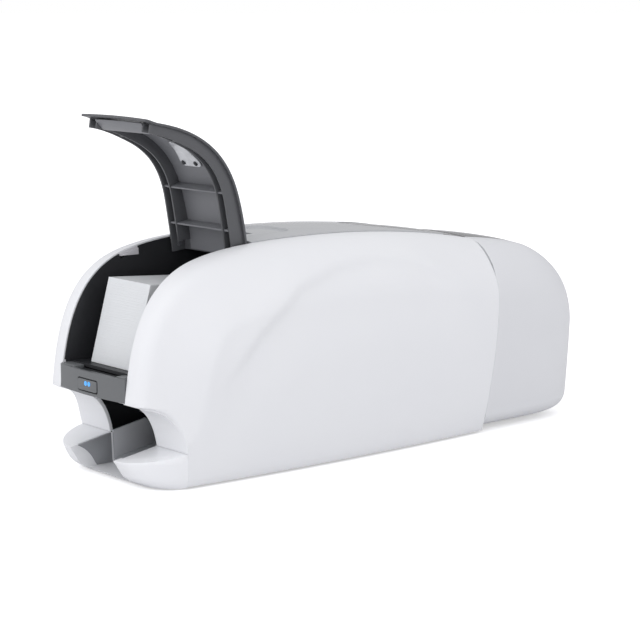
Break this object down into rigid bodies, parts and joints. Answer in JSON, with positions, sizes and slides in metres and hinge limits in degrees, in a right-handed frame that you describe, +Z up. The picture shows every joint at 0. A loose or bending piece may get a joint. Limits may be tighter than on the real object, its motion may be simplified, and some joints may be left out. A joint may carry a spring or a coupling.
{
  "type": "id card printer",
  "caption": "Desktop ID card printer with an open front card hopper, a pull-out card tray, a hinged top cover and a card flipper at the rear.",
  "frame": {"origin": "on the floor, under the middle of the printer", "axes": "+Z up, the front (hopper and tray) faces -Y, +X is the printer's right side"},
  "size_m": [0.172, 0.452, 0.2656],
  "materials": {
    "casing_white": "satin white ABS",
    "rear_white": "satin white ABS",
    "tray_white": "satin white ABS",
    "cover_grey": "glossy light grey ABS",
    "insert_grey": "glossy mid grey ABS",
    "lid_grey": "satin dark grey ABS",
    "bezel_grey": "satin grey ABS",
    "inner_black": "matte black plastic",
    "clip_grey": "matte light grey plastic",
    "chute_grey": "satin grey plastic",
    "card_white": "smooth white PVC",
    "window": "clear polished plastic",
    "status_led": "lit blue light guide",
    "steel": "ground steel",
    "rubber": "ground rubber",
    "clean_blue": "tacky blue silicone",
    "gear_white": "moulded acetal",
    "motor_black": "black paint",
    "circuit": "green solder mask",
    "head_ceramic": "glazed ceramic",
    "aluminium": "extruded",
    "ribbon_film": "thin dye film",
    "ribbon_roll": "wound dye film",
    "cassette_grey": "moulded plastic",
    "switch_black": "gloss black",
    "foot_rubber": "soft rubber"
  },
  "bodies": {
    "chassis": {"base_plate": "inner_black", "rubber_feet": "foot_rubber", "left_panel": "casing_white", "right_panel": "casing_white", "left_frame": "inner_black", "right_frame": "inner_black", "frame_tie_rods": "steel", "panel_screws": "steel", "front_fascia": "casing_white", "front_bezel": "bezel_grey", "button_board": "circuit", "hopper_floor": "inner_black", "hopper_back_wall": "inner_black", "lid_catches": "clip_grey", "card_stack": "card_white", "card_gate": "steel", "exit_chute": "chute_grey", "drive_belt": "rubber", "drive_motor": "motor_black", "ribbon_cassette": "cassette_grey", "ribbon_film": "ribbon_film", "main_board": "circuit", "rear_bulkhead": "inner_black", "flipper_frame": "inner_black", "flipper_motor": "motor_black", "rear_housing": "rear_white", "rear_top_insert": "insert_grey", "rear_sockets": "inner_black"},
    "hopper_lid": {"hopper_lid": "lid_grey", "lid_hinge_pins": "steel", "lid_window": "window", "lid_window_screws": "steel"},
    "top_cover": {"top_cover": "cover_grey", "cover_hinge_pins": "steel", "print_head": "head_ceramic", "print_head_bracket": "steel", "heat_sink": "aluminium"},
    "cover_release": {"cover_release": "cover_grey"},
    "status_button": {"status_button": "bezel_grey", "status_light": "status_led"},
    "pick_roller": {"pick_roller": "rubber"},
    "front_roller": {"front_roller": "rubber"},
    "front_idler": {"front_idler": "steel"},
    "cleaning_roller": {"cleaning_roller": "clean_blue"},
    "platen_roller": {"platen_roller": "rubber"},
    "rear_roller": {"rear_roller": "rubber"},
    "rear_idler": {"rear_idler": "steel"},
    "exit_roller": {"exit_roller": "rubber"},
    "exit_idler": {"exit_idler": "steel"},
    "idler_gear": {"idler_gear": "gear_white"},
    "motor_pulley": {"motor_pulley": "steel"},
    "ribbon_supply": {"ribbon_supply": "ribbon_roll"},
    "ribbon_takeup": {"ribbon_takeup": "ribbon_roll"},
    "flipper_drum": {"flipper_drum": "cassette_grey"},
    "flipper_roller": {"flipper_roller": "rubber"},
    "flipper_idler": {"flipper_idler": "steel"},
    "flipper_pinion": {"flipper_pinion": "gear_white"},
    "power_switch": {"power_switch": "switch_black"},
    "card_tray": {"card_tray": "tray_white", "tray_liner": "chute_grey"}
  },
  "joints": [
    {"name": "lid_hinge", "type": "hinge", "parent": "chassis", "child": "hopper_lid", "pos_m": [0, -0.1158, 0.165], "axis": [1, 0, 0], "range_deg": [0, 87.6]},
    {"name": "cover_hinge", "type": "hinge", "parent": "chassis", "child": "top_cover", "pos_m": [0, 0.105, 0.15], "axis": [-1, 0, 0], "range_deg": [0, 75]},
    {"name": "cover_release_press", "type": "slide", "parent": "top_cover", "child": "cover_release", "axis": [0, 0, -1], "range_m": [0, 0.0015], "stiffness_N_per_m": 300, "springref_m": -0.001},
    {"name": "status_button_press", "type": "slide", "parent": "chassis", "child": "status_button", "axis": [0, 1, 0], "range_m": [0, 0.001], "stiffness_N_per_m": 300, "springref_m": -0.001},
    {"name": "tray_pull", "type": "slide", "parent": "chassis", "child": "card_tray", "axis": [0, -1, 0], "range_m": [0, 0.03]},
    {"name": "front_roller_spin", "type": "hinge", "parent": "chassis", "child": "front_roller", "pos_m": [0, -0.105, 0.072], "axis": [1, 0, 0], "continuous": true},
    {"name": "pick_roller_spin", "type": "hinge", "parent": "chassis", "child": "pick_roller", "pos_m": [0, -0.165, 0.07268], "axis": [1, 0, 0], "continuous": true},
    {"name": "idler_gear_spin", "type": "hinge", "parent": "chassis", "child": "idler_gear", "pos_m": [0, -0.135, 0.07234], "axis": [1, 0, 0], "continuous": true},
    {"name": "front_idler_spin", "type": "hinge", "parent": "chassis", "child": "front_idler", "pos_m": [0, -0.105, 0.0845], "axis": [1, 0, 0], "continuous": true},
    {"name": "cleaning_roller_spin", "type": "hinge", "parent": "chassis", "child": "cleaning_roller", "pos_m": [0, -0.08, 0.0845], "axis": [1, 0, 0], "continuous": true},
    {"name": "platen_spin", "type": "hinge", "parent": "chassis", "child": "platen_roller", "pos_m": [0, -0.02, 0.072], "axis": [1, 0, 0], "continuous": true},
    {"name": "rear_roller_spin", "type": "hinge", "parent": "chassis", "child": "rear_roller", "pos_m": [0, 0.075, 0.072], "axis": [1, 0, 0], "continuous": true},
    {"name": "rear_idler_spin", "type": "hinge", "parent": "chassis", "child": "rear_idler", "pos_m": [0, 0.075, 0.0845], "axis": [1, 0, 0], "continuous": true},
    {"name": "exit_roller_spin", "type": "hinge", "parent": "chassis", "child": "exit_roller", "pos_m": [0, -0.15, 0.0487], "axis": [1, 0, 0], "continuous": true},
    {"name": "exit_idler_spin", "type": "hinge", "parent": "chassis", "child": "exit_idler", "pos_m": [0, -0.15, 0.0382], "axis": [1, 0, 0], "continuous": true},
    {"name": "motor_spin", "type": "hinge", "parent": "chassis", "child": "motor_pulley", "pos_m": [0, 0.01, 0.038], "axis": [1, 0, 0], "continuous": true},
    {"name": "supply_spin", "type": "hinge", "parent": "chassis", "child": "ribbon_supply", "pos_m": [0, 0.036, 0.13], "axis": [1, 0, 0], "continuous": true},
    {"name": "takeup_spin", "type": "hinge", "parent": "chassis", "child": "ribbon_takeup", "pos_m": [0, -0.062, 0.13], "axis": [1, 0, 0], "continuous": true},
    {"name": "drum_spin", "type": "hinge", "parent": "chassis", "child": "flipper_drum", "pos_m": [0, 0.166, 0.0784], "axis": [1, 0, 0], "continuous": true},
    {"name": "pinion_spin", "type": "hinge", "parent": "chassis", "child": "flipper_pinion", "pos_m": [0, 0.14337, 0.05577], "axis": [1, 0, 0], "continuous": true},
    {"name": "flipper_roller_spin", "type": "hinge", "parent": "flipper_drum", "child": "flipper_roller", "pos_m": [0, 0.166, 0.07315], "axis": [1, 0, 0], "continuous": true},
    {"name": "flipper_idler_spin", "type": "hinge", "parent": "flipper_drum", "child": "flipper_idler", "pos_m": [0, 0.166, 0.08365], "axis": [1, 0, 0], "continuous": true},
    {"name": "power_rocker", "type": "hinge", "parent": "chassis", "child": "power_switch", "pos_m": [0.019, 0.2216, 0.042], "axis": [1, 0, 0], "range_deg": [0, 14]}
  ],
  "couplings": [
    {"joint": "idler_gear_spin", "follows": "front_roller_spin", "ratio": -0.5},
    {"joint": "pick_roller_spin", "follows": "front_roller_spin", "ratio": 1},
    {"joint": "exit_roller_spin", "follows": "front_roller_spin", "ratio": 1.25},
    {"joint": "exit_idler_spin", "follows": "front_roller_spin", "ratio": -1.25},
    {"joint": "front_idler_spin", "follows": "front_roller_spin", "ratio": -1},
    {"joint": "cleaning_roller_spin", "follows": "front_roller_spin", "ratio": -1},
    {"joint": "platen_spin", "follows": "front_roller_spin", "ratio": 1},
    {"joint": "rear_roller_spin", "follows": "front_roller_spin", "ratio": 1},
    {"joint": "rear_idler_spin", "follows": "front_roller_spin", "ratio": -1},
    {"joint": "motor_spin", "follows": "front_roller_spin", "ratio": 1.6},
    {"joint": "takeup_spin", "follows": "supply_spin", "ratio": 1.5455},
    {"joint": "pinion_spin", "follows": "drum_spin", "ratio": -3},
    {"joint": "flipper_idler_spin", "follows": "flipper_roller_spin", "ratio": -1}
  ]
}
